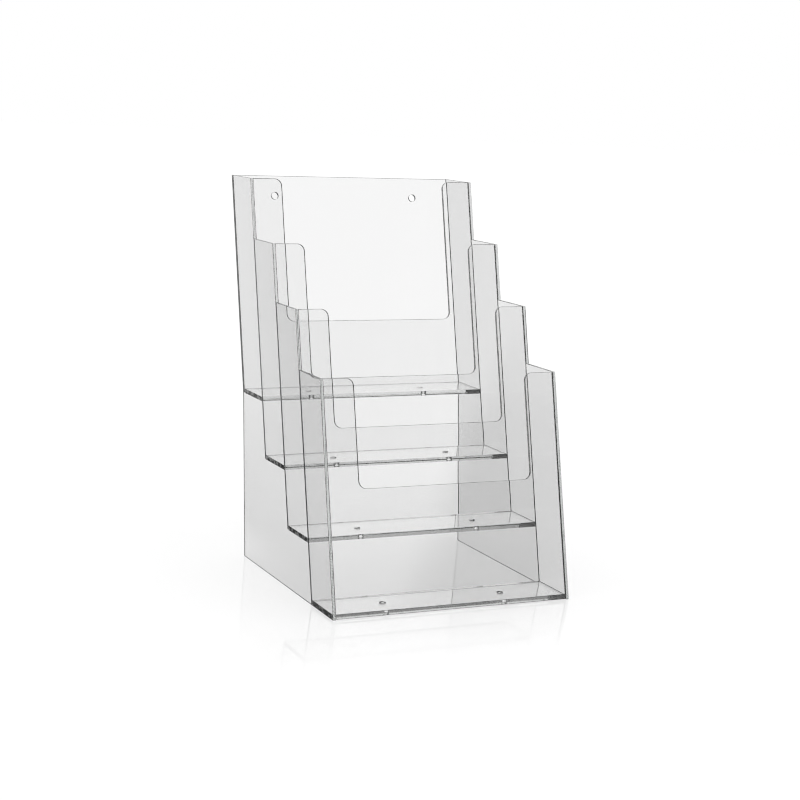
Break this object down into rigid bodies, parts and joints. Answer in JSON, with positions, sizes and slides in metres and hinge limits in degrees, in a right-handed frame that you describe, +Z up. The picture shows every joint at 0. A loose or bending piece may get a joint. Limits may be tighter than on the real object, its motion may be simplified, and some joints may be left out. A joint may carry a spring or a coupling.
{
  "type": "brochure rack",
  "caption": "Clear plastic tiered table-top brochure rack: stepped side plates, leaning pockets one behind the other, each front with a U cut-out, and screw holes in the back.",
  "frame": {"origin": "on the table, at the centre of the rack's outer width and depth", "axes": "+Z up from the table, +X across the rack to the right of someone facing its fronts, +Y from the fronts to the rear"},
  "size_m": [0.165, 0.205, 0.2575],
  "materials": {
    "clear_plastic": "clear, polished faces and edges"
  },
  "bodies": {
    "root": {"left_side_panel": "clear_plastic", "right_side_panel": "clear_plastic", "tier_1_front_panel": "clear_plastic", "tier_2_front_panel": "clear_plastic", "tier_3_front_panel": "clear_plastic", "tier_4_front_panel": "clear_plastic", "tier_1_floor": "clear_plastic", "tier_2_floor": "clear_plastic", "tier_3_floor": "clear_plastic", "tier_4_floor": "clear_plastic", "back_panel": "clear_plastic"}
  },
  "joints": []
}
